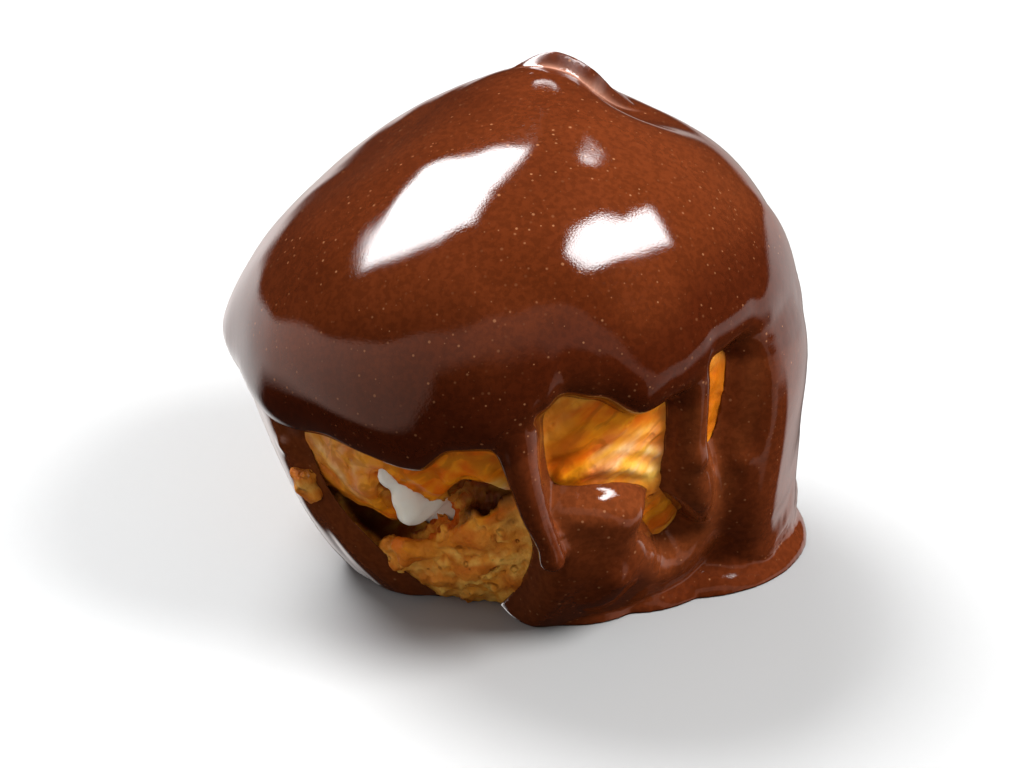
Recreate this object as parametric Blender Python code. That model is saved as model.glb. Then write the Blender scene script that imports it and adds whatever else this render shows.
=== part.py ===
"""A cream puff: a filled choux bun under a thick coat of chocolate sauce.

Three solids: the baked bun, torn open low on its front; the whipped cream inside it, which shows in the
tear; and the sauce, a shell that hangs from the top in a rolled lip, with drips, a drape and a foot.

Frame: metres, +Z up. The origin is the middle of the flat base, on the surface the puff stands on.
The front, with the tear, faces -Y. Azimuth 0 is the front and azimuth 90 is +X, the side of the drape.
Every form is a ball pushed out from one middle point, so each is a function from direction to distance.

The tables below give azimuths, elevations and spreads in degrees, and all lengths in millimetres.
"""

import math

import bmesh
import bpy
import numpy as np
from mathutils import Matrix, Vector, noise

MM = 0.001

# The bun: the middle that every form is measured from, and the sizes of its two halves
MIDDLE = np.array([0.0, 0.0, 27.0]) * MM
BUN_RADIUS = 26.5 * MM
BUN_TOP = 47.0 * MM
BUN_LOWER_AXIS = 35.0 * MM
WALL = 5.0 * MM

# Lumps of the bun: azimuth, elevation, spread, height
LUMPS = (
    (-112, 34, 38, -4.9),
    (131, 48, 15, -3.0),
    (-4, 38, 30, 1.8),
)

# Relief of the baked skin, which fades out where the sauce covers it
CRAG_HEIGHT = 0.9 * MM
CRAG_SIZE = 5.5 * MM
CRAG_SHIFT = Vector((3.1, 0.4, 7.7))
CRACK_SHARPNESS = 2.2
CRACK_DEPTH = 0.75
BARE_BELOW = 0.8 * MM
BARE_FADE = 2.0 * MM

# Broken crumb on the lower edge of the tear: azimuth, elevation, spread, height
CRUMB = ((-38, -47, 6, 1.5), (-30, -43, 5, 1.1), (-45, -41, 4, 0.8))

# The tear: azimuth, height, half-height
TEAR = (
    (-62, 10.0, 1.4),
    (-48, 10.5, 2.6),
    (-34, 12.5, 2.9),
    (-20, 14.0, 2.7),
    (-9, 15.0, 2.0),
    (-2, 14.5, 0.8),
)
TEAR_OUTER = 4.0 * MM
TEAR_INNER = -8.0 * MM
TEAR_TAPER = 0.8
RAGGED = 0.5 * MM

# How deep and how wide the skin has sunk in along the tear
SUNK = 2.6 * MM
SUNK_WIDTH = 4.6 * MM

# The cream: a heap that rises into the tear, and a dent beside it, as azimuth, elevation, spread, height
CREAM_HEAP = (-27, -27, 11, 2.6)
CREAM_DENT = (-56, -38, 14, -5.0)

# The sauce. Below zero thickness its outer face runs inside the bun, so that its edge is clean once cut.
GAP = 0.3 * MM
TOP_COAT = 3.6 * MM
LIP_COAT = 4.6 * MM
THIN_ABOVE = 55.0
INSIDE = -2.0 * MM
EDGE_SLOPE = 1.6
BLEND = 1.6 * MM

# The lip's height round the bun: azimuth, height
LIP = (
    (-180, 24), (-155, 21), (-130, 25), (-105, 22.5), (-88, 21.5), (-65, 22.5), (-40, 23.5),
    (-18, 22), (-8, 24), (0, 25.5), (9, 28.5), (16, 30.5), (28, 30), (40, 31), (56, 31.5),
    (68, 28), (90, 22), (120, 21), (145, 26), (165, 21),
)

# How far up the bun the lip takes to reach its full thickness: azimuth, height
LIP_ROLL = (
    (-180, 6.5), (-112, 5.0), (-90, 3.4), (-66, 5.0), (-40, 6.5), (20, 6.0), (60, 5.0), (120, 6.5),
)

# Streams of sauce down the bun: path of (azimuth, height), then half-width and thickness at each point
STREAMS = {
    "left_curtain": (((-82, 24), (-73, 17), (-67, 8), (-64, 0)), (8.0, 6.0, 3.4, 3.8), (2.8, 1.7, 1.5, 1.8)),
    "left_film": (((-56, 5), (-50, 0)), (2.4, 4.2), (1.0, 1.4)),
    "bridge": (((47, 34), (46, 24), (48, 14), (50, 0)), (2.8, 2.6, 3.2, 5.0), (3.6, 3.0, 3.2, 4.0)),
    "drip_root": (((1, 29), (3, 21), (8, 16), (14, 11)), (3.0, 2.4, 2.6, 3.0), (3.4, 2.6, 2.4, 2.6)),
    "tongue": (((13, 16), (24, 11), (27, 0)), (2.6, 7.0, 9.0), (2.2, 3.0, 3.4)),
    "drape": (
        ((84, 31), (83, 17), (83, 13.6), (83, 10.4), (84, 7.8), (85, 0)),
        (11.0, 9.0, 8.6, 8.2, 8.4, 9.6),
        (4.6, 5.6, 6.9, 8.8, 10.4, 13.0),
    ),
    "drape_side": (((106, 30), (107, 20), (109, 12), (110, 8)), (7.0, 5.4, 3.8, 3.4), (4.8, 5.0, 4.6, 4.8)),
    "back_short": (((-112, 24), (-111, 15), (-111, 13)), (3.6, 2.2, 2.5), (4.0, 2.6, 3.0)),
    "back_long": (((-143, 24), (-145, 12), (-146, 6.5)), (4.0, 2.0, 2.4), (4.2, 2.4, 3.0)),
    "back_run": (((172, 24), (170, 12), (171, 0)), (6.0, 3.6, 5.0), (4.2, 2.8, 3.6)),
    "back_side": (((128, 26), (127, 15), (127, 10)), (5.0, 2.6, 3.0), (4.4, 3.0, 3.4)),
}
STREAM_EDGE = 4.6 * MM
STREAM_ROUND = 1.5

# Windows through the sauce: azimuth, height, radius
WINDOWS = ((43, 11.0, 2.1), (58, 24.5, 2.2), (57, 28.0, 2.0))
WINDOW_EDGE = 2.6 * MM

# Swellings of the coat: azimuth, elevation, spread, height
SWELLINGS = (
    (158, 62, 19, 1.6),
    (-90, -10, 14, 2.4),
    (92, 14, 26, -0.9),
)

# A fold of sauce behind the peak: azimuth, elevation
FOLD_PATH = ((196, 66), (178, 70), (155, 67), (137, 66), (128, 62))
FOLD_HALF_WIDTH = 3.0 * MM
FOLD_HEIGHT = 0.9 * MM

# The free drip at the front: azimuth, height, distance from the bun's skin, radius
DRIP = (
    (0, 28, 1.2, 3.4),
    (2.5, 22.5, 2.6, 2.3),
    (5, 17.5, 2.9, 1.6),
    (8, 13.5, 2.6, 1.35),
    (8.7, 11.8, 2.4, 1.5),
)

# The foot, where sauce has spread on the surface: azimuth, distance from the origin, radius, height
FOOT = ((84, 18.5, 13.5, 4.0), (56, 15, 10.0, 3.2), (28, 14, 8.5, 2.8), (171, 15, 8.0, 2.4))

# How near its edge the sauce's mesh is finer
FINE_BELOW = 2.4 * MM
FINE_ABOVE = -1.2 * MM

BLOCK = 0.2

CHOCOLATE = (0.085, 0.022, 0.009, 1.0)
CRUST = (0.62, 0.25, 0.06, 1.0)
CREAM = (0.88, 0.82, 0.70, 1.0)


def clear_scene():
    for thing in list(bpy.data.objects):
        bpy.data.objects.remove(thing)


def towards(azimuth, elevation):
    """The unit direction at an azimuth and an elevation."""
    a, e = math.radians(azimuth), math.radians(elevation)
    return np.array([math.sin(a) * math.cos(e), -math.cos(a) * math.cos(e), math.sin(e)])


def azimuth_of(directions):
    return np.degrees(np.arctan2(directions[:, 0], -directions[:, 1]))


def degrees_from(directions, azimuth, elevation):
    """The angle between each direction and one given by azimuth and elevation."""
    return np.degrees(np.arccos(np.clip(directions @ towards(azimuth, elevation), -1, 1)))


def swollen(directions, table):
    """The height of all the round swellings of a table along each direction."""
    height = np.zeros(len(directions))
    for azimuth, elevation, spread, tall in table:
        height += tall * MM * np.exp(-((degrees_from(directions, azimuth, elevation) / spread) ** 2))
    return height


def bun_reach(directions):
    """Distance from the middle to the bun's smooth skin: two half ellipsoids with lumps."""
    depth = np.where(directions[:, 2] > 0, BUN_TOP - MIDDLE[2], BUN_LOWER_AXIS)
    across = (directions[:, 0] ** 2 + directions[:, 1] ** 2) / BUN_RADIUS**2
    return 1 / np.sqrt(across + (directions[:, 2] / depth) ** 2) + swollen(directions, LUMPS)


def bun_skin(directions):
    return MIDDLE + directions * bun_reach(directions)[:, None]


def on_bun(azimuth, height, off=0.0):
    """The point on the bun's plain ellipsoids at an azimuth and a height, moved out by off, all in metres."""
    depth = BUN_TOP - MIDDLE[2] if height > MIDDLE[2] else BUN_LOWER_AXIS
    radius = BUN_RADIUS * math.sqrt(max(0.0, 1 - ((height - MIDDLE[2]) / depth) ** 2)) + off
    turn = math.radians(azimuth)
    return np.array([radius * math.sin(turn), -radius * math.cos(turn), height])


def apart_from(skin, azimuth, height):
    """Distance of each point of the skin from the place on the bun at an azimuth and a height."""
    return np.linalg.norm(skin - on_bun(azimuth, height * MM), axis=1)


def around(table, azimuths):
    """A smooth length round the bun from a table of (azimuth, length)."""
    angles = np.array([row[0] for row in table] + [table[0][0] + 360.0])
    values = np.array([row[1] for row in table] + [table[0][1]]) * MM
    at = np.clip(np.searchsorted(angles, azimuths, side="right") - 1, 0, len(table) - 1)
    share = (azimuths - angles[at]) / (angles[at + 1] - angles[at])
    ease = share * share * (3 - 2 * share)
    return values[at] * (1 - ease) + values[at + 1] * ease


def bead(share):
    """A quarter-round edge: 0 at the edge, 1 where the full thickness is reached, falling outside."""
    inside = np.sqrt(np.clip(1 - (1 - np.clip(share, 0, 1)) ** 2, 0, 1))
    return np.where(share < 0, share * EDGE_SLOPE, inside)


def smooth_max(a, b, k):
    h = np.clip(k - np.abs(a - b), 0, None) / k
    return np.maximum(a, b) + h * h * k / 4


def sampled(path, per_leg=10):
    """Rows of a path with a smooth curve through them, by Catmull-Rom."""
    rows = np.array(path, float)
    ends = np.vstack([2 * rows[0] - rows[1], rows, 2 * rows[-1] - rows[-2]])
    made = []
    for a, b, c, d in zip(ends, ends[1:], ends[2:], ends[3:]):
        for step in range(per_leg):
            t = step / per_leg
            bend = (2 * a - 5 * b + 4 * c - d) * t**2 + (3 * b - a - 3 * c + d) * t**3
            made.append(0.5 * (2 * b + (c - a) * t + bend))
    made.append(rows[-1])
    return np.array(made)


def stream_height(skin, stream):
    """Thickness of one stream of sauce over the points of the bun's skin, below zero outside it."""
    path, widths, heights = stream
    best = np.full(len(skin), -99.0)
    height = np.zeros(len(skin))
    for azimuth, z, width, thick in sampled([(*at, w, h) for at, w, h in zip(path, widths, heights)]):
        inside = width * MM - apart_from(skin, azimuth, z)
        share = inside / min(width * MM, STREAM_EDGE)
        better = share > best
        best = np.where(better, share, best)
        height = np.where(better, thick * MM, height)
    return height * np.where(best > 0, np.clip(bead(best), 0, 1) ** STREAM_ROUND, best)


def coat_thickness(directions):
    """Thickness of the sauce along each direction, below zero where there's none."""
    skin = bun_skin(directions)
    azimuths = azimuth_of(directions)
    elevation = np.degrees(np.arcsin(np.clip(directions[:, 2], -1, 1)))
    low = np.clip(1 - elevation / THIN_ABOVE, 0, 1)
    thick = TOP_COAT + (LIP_COAT - TOP_COAT) * low + swollen(directions, SWELLINGS)
    above_lip = skin[:, 2] - around(LIP, azimuths)
    thickness = thick * bead(above_lip / around(LIP_ROLL, azimuths))
    for stream in STREAMS.values():
        thickness = smooth_max(thickness, stream_height(skin, stream), BLEND)
    for azimuth, z, radius in WINDOWS:
        outside = apart_from(skin, azimuth, z) - radius * MM
        thickness = np.where(thickness > 0, thickness * bead(outside / WINDOW_EDGE), thickness)
    return np.maximum(thickness + fold_height(directions), INSIDE)


def fold_height(directions):
    """Height of the fold of sauce behind the peak."""
    share = np.full(len(directions), -1.0)
    for azimuth, elevation in sampled(FOLD_PATH):
        apart = np.radians(degrees_from(directions, azimuth, elevation)) * BUN_RADIUS
        share = np.maximum(share, 1 - apart / FOLD_HALF_WIDTH)
    return FOLD_HEIGHT * np.clip(bead(share), 0, 1)


def sunk(skin):
    """How far the skin has sunk along the tear."""
    nearest = np.full(len(skin), 1.0)
    for azimuth, z, _ in sampled(TEAR, 4):
        nearest = np.minimum(nearest, apart_from(skin, azimuth, z))
    return SUNK * np.exp(-((nearest / SUNK_WIDTH) ** 2))


def crags(skin):
    """Relief of the baked skin: swollen plates with cracks between them."""
    relief = np.empty(len(skin))
    for i, point in enumerate(skin):
        near, next_near = noise.voronoi(Vector(point) / CRAG_SIZE + CRAG_SHIFT)[0][:2]
        relief[i] = min(1.0, (next_near - near) * CRACK_SHARPNESS) - CRACK_DEPTH
    return relief * CRAG_HEIGHT


def baked_reach(directions):
    """Distance from the middle to the bun's skin with its crags, its crumb and the sunk edge of the tear."""
    skin = bun_skin(directions)
    bare = np.clip((BARE_BELOW - coat_thickness(directions)) / BARE_FADE, 0, 1)
    relief = crags(skin) + swollen(directions, CRUMB)
    return bun_reach(directions) + relief * bare - sunk(skin)


def sauce_reach(directions):
    return bun_reach(directions) + GAP + coat_thickness(directions)


def ball(level, finer):
    """A unit icosphere as a bmesh, with the faces divided once more where finer says so."""
    bm = bmesh.new()
    bmesh.ops.create_icosphere(bm, subdivisions=level, radius=1.0)
    wanted = finer(directions_of(bm))
    edges = [e for e in bm.edges if wanted[e.verts[0].index] or wanted[e.verts[1].index]]
    bmesh.ops.subdivide_edges(bm, edges=edges, cuts=1, use_grid_fill=True)
    bmesh.ops.triangulate(bm, faces=bm.faces[:])
    return bm


def directions_of(bm):
    """The direction of each vertex of a ball about the origin."""
    bm.verts.index_update()
    directions = np.array([v.co for v in bm.verts], float)
    return directions / np.linalg.norm(directions, axis=1)[:, None]


def push_out(bm, reach, softened=0):
    """Moves each vertex of a ball to its distance from the middle, averaged with its neighbours' in rounds."""
    directions = directions_of(bm)
    far = reach(directions)
    ends = np.array([(e.verts[0].index, e.verts[1].index) for e in bm.edges])
    for _ in range(softened):
        total, count = far.copy(), np.ones(len(far))
        for here, there in (ends.T, ends.T[::-1]):
            np.add.at(total, here, far[there])
            np.add.at(count, here, 1.0)
        far = total / count
    for v, point in zip(bm.verts, MIDDLE + directions * far[:, None]):
        v.co = point


def finish(name, bm):
    """An object from the bmesh, with its faces turned outwards."""
    bmesh.ops.recalc_face_normals(bm, faces=bm.faces[:])
    mesh = bpy.data.meshes.new(name)
    bm.to_mesh(mesh)
    bm.free()
    mesh.shade_smooth()
    thing = bpy.data.objects.new(name, mesh)
    bpy.context.collection.objects.link(thing)
    return thing


def boolean(thing, other, operation, solver="EXACT"):
    """Joins or cuts a shape with another and removes the other. The sauce takes MANIFOLD, as EXACT loses it."""
    step = thing.modifiers.new(operation.lower(), "BOOLEAN")
    step.operation = operation
    step.solver = solver
    step.object = other
    graph = bpy.context.evaluated_depsgraph_get()
    result = bpy.data.meshes.new_from_object(thing.evaluated_get(graph))
    thing.modifiers.clear()
    thing.data = result
    bpy.data.objects.remove(other)


def cut_flat(thing, height, solver="EXACT"):
    """Takes off what lies below a height, which leaves a flat face there."""
    bm = bmesh.new()
    bmesh.ops.create_cube(bm, size=BLOCK, matrix=Matrix.Translation((0, 0, height - BLOCK / 2)))
    boolean(thing, finish("block", bm), "DIFFERENCE", solver)


def material(name, colour, roughness):
    made = bpy.data.materials.new(name)
    made.use_nodes = True
    shader = made.node_tree.nodes["Principled BSDF"]
    shader.inputs["Base Color"].default_value = colour
    shader.inputs["Roughness"].default_value = roughness
    return made


def wear(thing, made):
    thing.data.materials.clear()
    thing.data.materials.append(made)


def bridge_rings(bm, rings):
    """Walls between rings of as many vertices, and a face over each end."""
    for one, two in zip(rings, rings[1:]):
        for i in range(len(one)):
            j = (i + 1) % len(one)
            bm.faces.new((one[i], one[j], two[j], two[i]))
    bm.faces.new(rings[0][::-1])
    bm.faces.new(rings[-1])


def rope(name, rows, sides=12):
    """A closed tube through rows of (point, radius)."""
    bm = bmesh.new()
    rings = []
    points = [Vector(row[0]) for row in rows]
    for i, (point, radius) in enumerate(rows):
        along = points[min(i + 1, len(rows) - 1)] - points[max(i - 1, 0)]
        place = Matrix.Translation(point) @ along.to_track_quat("Z", "X").to_matrix().to_4x4()
        rings.append(bmesh.ops.create_circle(bm, segments=sides, radius=radius, matrix=place)["verts"])
    bridge_rings(bm, rings)
    return finish(name, bm)


def rounded(rows, steps=4, last=84):
    """Rows of (point, radius) with a nearly half-round end added at each tip."""
    made = []
    for end, following in ((0, 1), (-1, -2)):
        point, radius = rows[end]
        out = (point - rows[following][0]) / np.linalg.norm(point - rows[following][0])
        turns = [math.radians(last * step / steps) for step in range(1, steps + 1)]
        made.append([(point + out * radius * math.sin(turn), radius * math.cos(turn)) for turn in turns])
    return made[0][::-1] + rows + made[1]


def make_core(name, off, heap):
    """The space inside the bun, or what fills it: coarse, and finer where the tear shows it."""
    bm = ball(3, lambda directions: degrees_from(directions, -35, -25) < 45)
    push_out(bm, lambda directions: bun_reach(directions) - WALL + off + swollen(directions, heap))
    core = finish(name, bm)
    cut_flat(core, WALL - off)
    return core


def make_tear():
    """A flat wedge along the tear, from outside the bun to inside its hollow."""
    bm = bmesh.new()
    rings = []
    for i, (azimuth, z, half) in enumerate(sampled(TEAR, 4) * (1, MM, MM)):
        ragged = RAGGED * math.sin(i * 2.3)
        corners = (
            on_bun(azimuth, z - half + ragged, TEAR_OUTER),
            on_bun(azimuth, z + half + ragged / 2, TEAR_OUTER),
            on_bun(azimuth, z + half * TEAR_TAPER, TEAR_INNER),
            on_bun(azimuth, z - half * TEAR_TAPER, TEAR_INNER),
        )
        rings.append([bm.verts.new(corner) for corner in corners])
    bridge_rings(bm, rings)
    return finish("tear", bm)


def make_bun():
    bm = ball(4, lambda directions: coat_thickness(directions) < BARE_BELOW)
    push_out(bm, baked_reach)
    bun = finish("choux_bun", bm)
    cut_flat(bun, 0.0)
    boolean(bun, make_core("hollow", 0.0, (CREAM_HEAP,)), "DIFFERENCE")
    boolean(bun, make_tear(), "DIFFERENCE")
    return bun


def near_edge(directions):
    thickness = coat_thickness(directions)
    return (thickness > FINE_ABOVE) & (thickness < FINE_BELOW)


def make_puddle(azimuth, far, radius, height):
    """A flattened ball with its middle on the surface."""
    turn = math.radians(azimuth)
    place = Matrix.Translation((far * MM * math.sin(turn), -far * MM * math.cos(turn), 0))
    size = Matrix.Diagonal((radius * MM, radius * MM, height * MM, 1))
    bm = bmesh.new()
    bmesh.ops.create_icosphere(bm, subdivisions=3, radius=1.0, matrix=place @ size)
    return finish("puddle", bm)


def make_sauce():
    """The coat with its free drip and its foot, less the room that the bun takes up."""
    bm = ball(5, near_edge)
    push_out(bm, sauce_reach, softened=1)
    sauce = finish("chocolate_sauce", bm)
    rows = [(on_bun(az, z * MM, off * MM), radius * MM) for az, z, off, radius in sampled(DRIP, 3)]
    boolean(sauce, rope("drip", rounded(rows)), "UNION", "MANIFOLD")
    for puddle in FOOT:
        boolean(sauce, make_puddle(*puddle), "UNION", "MANIFOLD")
    bm = bmesh.new()
    bmesh.ops.create_icosphere(bm, subdivisions=4, radius=1.0)
    push_out(bm, lambda directions: bun_reach(directions) + GAP)
    boolean(sauce, finish("room", bm), "DIFFERENCE", "MANIFOLD")
    cut_flat(sauce, 0.0, "MANIFOLD")
    return sauce


def main():
    clear_scene()
    wear(make_bun(), material("crust", CRUST, 0.7))
    wear(make_core("cream_filling", -GAP, (CREAM_HEAP, CREAM_DENT)), material("cream", CREAM, 0.5))
    wear(make_sauce(), material("chocolate", CHOCOLATE, 0.15))
    for thing in bpy.context.collection.objects:
        print(thing.name, len(thing.data.polygons), "faces")


main()
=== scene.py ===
# %% [markdown]
# # A cream puff under chocolate sauce
#
# A choux bun, torn open low on its front so that its cream shows, stands under a thick, wet coat of
# chocolate sauce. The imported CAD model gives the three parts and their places. This lesson makes a finer
# bun, cream and coat in the same places, gives them their finishes, and lights them softly.

# %% Load the frame
import math

import bmesh
import bpy
import numpy as np
from mathutils import Matrix, Vector, noise


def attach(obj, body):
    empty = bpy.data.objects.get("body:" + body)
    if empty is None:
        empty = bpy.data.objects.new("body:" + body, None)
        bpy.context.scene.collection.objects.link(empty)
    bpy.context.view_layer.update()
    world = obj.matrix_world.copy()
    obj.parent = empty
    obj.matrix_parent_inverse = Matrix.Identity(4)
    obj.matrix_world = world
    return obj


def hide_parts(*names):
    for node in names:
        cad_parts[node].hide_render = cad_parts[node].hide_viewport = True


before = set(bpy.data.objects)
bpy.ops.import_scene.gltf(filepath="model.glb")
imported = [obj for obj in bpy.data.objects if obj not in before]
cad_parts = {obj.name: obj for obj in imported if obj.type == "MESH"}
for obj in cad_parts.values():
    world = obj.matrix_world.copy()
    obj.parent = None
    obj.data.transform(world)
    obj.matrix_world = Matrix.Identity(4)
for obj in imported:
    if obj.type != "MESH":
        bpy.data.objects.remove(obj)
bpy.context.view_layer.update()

print("nodes:", sorted(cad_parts))

# %% [markdown]
# ## Directions and lengths
#
# Sauce runs down over a round bun. Its places could be typed as x, y and z, but they are easier to say by
# direction: an azimuth round the puff, where 0 is the front and 90 is the right, and a height or an
# elevation. The tables give degrees and millimetres, and these helpers turn them into Blender's metres.

# %% Directions from the middle of the puff
MM = 0.001
MIDDLE = np.array([0.0, 0.0, 27.0]) * MM


def towards(azimuth, elevation):
    """The unit direction at an azimuth and an elevation."""
    a, e = math.radians(azimuth), math.radians(elevation)
    return np.array([math.sin(a) * math.cos(e), -math.cos(a) * math.cos(e), math.sin(e)])


def azimuth_of(directions):
    return np.degrees(np.arctan2(directions[:, 0], -directions[:, 1]))


def degrees_from(directions, azimuth, elevation):
    """The angle between each direction and one given by azimuth and elevation."""
    return np.degrees(np.arccos(np.clip(directions @ towards(azimuth, elevation), -1, 1)))


def swollen(directions, table):
    """The height of all the round swellings of a table along each direction."""
    height = np.zeros(len(directions))
    for azimuth, elevation, spread, tall in table:
        height += tall * MM * np.exp(-((degrees_from(directions, azimuth, elevation) / spread) ** 2))
    return height


def directions_from_middle(points):
    """Unit directions from the middle to points, and the distances."""
    out = points - MIDDLE
    far = np.linalg.norm(out, axis=1)
    return out / far[:, None], far


print("the front is towards", towards(0, 0).round(2), "and the right towards", towards(90, 0).round(2))

# %% Curves through a few rows, and soft steps
def sampled(path, per_leg=10):
    """Rows of a path with a smooth curve through them, by Catmull-Rom."""
    rows = np.array(path, float)
    ends = np.vstack([2 * rows[0] - rows[1], rows, 2 * rows[-1] - rows[-2]])
    made = []
    for a, b, c, d in zip(ends, ends[1:], ends[2:], ends[3:]):
        for step in range(per_leg):
            t = step / per_leg
            bend = (2 * a - 5 * b + 4 * c - d) * t**2 + (3 * b - a - 3 * c + d) * t**3
            made.append(0.5 * (2 * b + (c - a) * t + bend))
    made.append(rows[-1])
    return np.array(made)


def ease(share):
    """A soft step from 0 to 1."""
    t = np.clip(share, 0, 1)
    return t * t * (3 - 2 * t)


def around(table, azimuths):
    """A smooth length round the bun from a table of (azimuth, length)."""
    angles = np.array([row[0] for row in table] + [table[0][0] + 360.0])
    values = np.array([row[1] for row in table] + [table[0][1]]) * MM
    at = np.clip(np.searchsorted(angles, azimuths, side="right") - 1, 0, len(table) - 1)
    share = ease((azimuths - angles[at]) / (angles[at + 1] - angles[at]))
    return values[at] * (1 - share) + values[at + 1] * share


print("a smooth curve through three points:", sampled(((0, 0), (1, 1), (2, 0)), 3).round(2).tolist())

# %% [markdown]
# ## The bun's own round shape
#
# Piped choux paste swells into a lopsided ball in the oven. Such a ball could be sculpted, but then the
# coat and the cream would have to be fitted to it by hand. Two half ellipsoids, flatter above and deeper
# below, with a few broad lumps, give it as one function from direction to distance, which the coat and
# the cream follow too.

# %% The bun's smooth skin
BUN_RADIUS = 26.5 * MM
BUN_TOP = 47.0 * MM
BUN_LOWER_AXIS = 35.0 * MM
WALL = 5.0 * MM
LUMPS = (  # azimuth, elevation, spread, height
    (-112, 34, 38, -4.9),
    (131, 48, 15, -3.0),
    (-4, 38, 30, 1.8),
)


def bun_reach(directions):
    """Distance from the middle to the bun's smooth skin."""
    depth = np.where(directions[:, 2] > 0, BUN_TOP - MIDDLE[2], BUN_LOWER_AXIS)
    across = (directions[:, 0] ** 2 + directions[:, 1] ** 2) / BUN_RADIUS**2
    return 1 / np.sqrt(across + (directions[:, 2] / depth) ** 2) + swollen(directions, LUMPS)


def bun_skin(directions):
    return MIDDLE + directions * bun_reach(directions)[:, None]


def on_bun(azimuth, height, off=0.0):
    """The point on the bun at an azimuth and a height, moved out by off, all in metres."""
    depth = BUN_TOP - MIDDLE[2] if height > MIDDLE[2] else BUN_LOWER_AXIS
    radius = BUN_RADIUS * math.sqrt(max(0.0, 1 - ((height - MIDDLE[2]) / depth) ** 2)) + off
    turn = math.radians(azimuth)
    return np.array([radius * math.sin(turn), -radius * math.cos(turn), height])


def apart_from(points, azimuth, height, off=0.0):
    """Distance of each point from the place on the bun at an azimuth and a height in mm."""
    return np.linalg.norm(points - on_bun(azimuth, height * MM, off * MM), axis=1)


print("the bun reaches", (bun_reach(np.eye(3)) / MM).round(1), "mm from its middle along x, y and z")

# %% [markdown]
# ## How thick the sauce lies
#
# Thick sauce covers the top evenly, gathers in a rolled lip where it stops, and runs on in streams. A
# fluid simulation would make a coat, but not one that stops where it should. So a table round the bun
# says where the lip hangs, another how round it is, and each stream is a path with a width and a
# thickness. The thickness of all of them is worked out for each direction, so the coat is one smooth skin.

# %% The lip and the thickness of the coat
TOP_COAT = 3.6 * MM
LIP_COAT = 4.4 * MM
THIN_ABOVE = 55.0
INSIDE = -2.0 * MM
EDGE_SLOPE = 1.6
BLEND = 1.6 * MM
LIP = (  # azimuth, height
    (-180, 24), (-155, 21), (-130, 25), (-105, 24), (-88, 23.2), (-75, 22.4), (-60, 21.2), (-40, 23),
    (-20, 22.3), (-12, 25.2), (-5, 25.6), (3, 28.3), (6, 29.6), (11, 31.4), (18, 30.6), (28, 27.9),
    (36, 28.7), (46, 30.8), (60, 30.6), (72, 30), (84, 28), (98, 22), (120, 21), (145, 26), (165, 21),
)
LIP_ROLL = (  # azimuth, how far up the lip takes to reach its full thickness
    (-180, 6.5), (-112, 4.4), (-90, 2.8), (-70, 4.4), (-40, 6.0), (20, 5.6), (50, 4.6), (84, 4.0),
    (120, 6.5),
)
SWELLINGS = (  # azimuth, elevation, spread, height
    (158, 62, 19, 1.6),
    (-90, -8, 12, 1.3),
    (92, 14, 26, -0.9),
    (180, 0, 40, -0.15),
)

heights = [height for azimuth, height in LIP]
print("the lip hangs between", min(heights), "and", max(heights), "mm above the ground")

# %% The streams of sauce and the gaps between them
STREAMS = {  # path of (azimuth, height), half-width and thickness at its points, and how soft its edge is
    "left_curtain": (((-82, 24), (-73, 17), (-67, 8), (-64, 0)), (8, 6, 3.4, 3.8), (2.8, 1.7, 1.5, 1.8)),
    "left_film": (((-61, 9.5), (-54, 6), (-49, 0)), (2.6, 3.4, 5.0), (1.0, 1.2, 1.5)),
    "bridge": (
        ((43, 34), (42.5, 26), (43.5, 20), (47, 14), (50, 0)),
        (2.6, 2.1, 2.5, 3.6, 5.0),
        (3.4, 2.8, 2.8, 3.2, 4.0),
    ),
    "drip_root": (((2, 29), (4, 21), (9, 16), (15, 11)), (2.0, 1.7, 2.2, 3.0), (3.0, 2.2, 1.7, 2.0)),
    "tongue": (((13, 16.8), (24, 11.2), (27, 0)), (2.6, 7.0, 8.6), (2.6, 3.4, 3.2), 2.1),
    "drape": (
        ((82, 31), (80.5, 25), (80, 17), (80.5, 13.6), (81.5, 10.4), (83, 7.8), (85, 0)),
        (11.6, 11.0, 10.8, 10.6, 9.6, 9.2, 9.6),
        (3.4, 4.7, 5.7, 6.9, 8.7, 10.3, 13.0),
    ),
    "apron": (((62, 15.0), (63, 9.0), (62, 0)), (4.4, 6.0, 7.0), (3.0, 3.4, 4.0)),
    "drape_side": (((106, 26), (107, 20), (109, 12), (110, 8)), (6.0, 5.4, 3.8, 3.4), (4.0, 4.8, 4.6, 4.8)),
    "back_short": (((-112, 24), (-111, 15), (-111, 13)), (3.6, 2.2, 2.5), (4.0, 2.6, 3.0)),
    "back_long": (((-143, 24), (-145, 12), (-146, 6.5)), (4.0, 2.0, 2.4), (4.2, 2.4, 3.0)),
    "back_run": (((172, 24), (170, 12), (171, 0)), (6.0, 3.6, 5.0), (4.2, 2.8, 3.6)),
    "back_side": (((128, 26), (127, 15), (127, 10)), (5.0, 2.6, 3.0), (4.4, 3.0, 3.4)),
}
STREAM_EDGE = 4.6 * MM
STREAM_ROUND = 1.5
WINDOWS = {  # path of (azimuth, height), then radius
    "slit": (((53, 22), (54, 25), (55.5, 28.6)), 1.8),
    "low_gap": (((35.5, 14.8), (39.5, 12.6), (44, 10.2)), 2.1),
}
WINDOW_EDGE = 2.6 * MM
WINDOW_DEEP = 2.0 * MM

print(len(STREAMS), "streams and", len(WINDOWS), "gaps that stay open between them")


# %% From the tables to a thickness
def bead(share):
    """A quarter-round edge: 0 at the edge, 1 where the full thickness is reached, falling outside."""
    inside = np.sqrt(np.clip(1 - (1 - np.clip(share, 0, 1)) ** 2, 0, 1))
    return np.where(share < 0, share * EDGE_SLOPE, inside)


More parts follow.
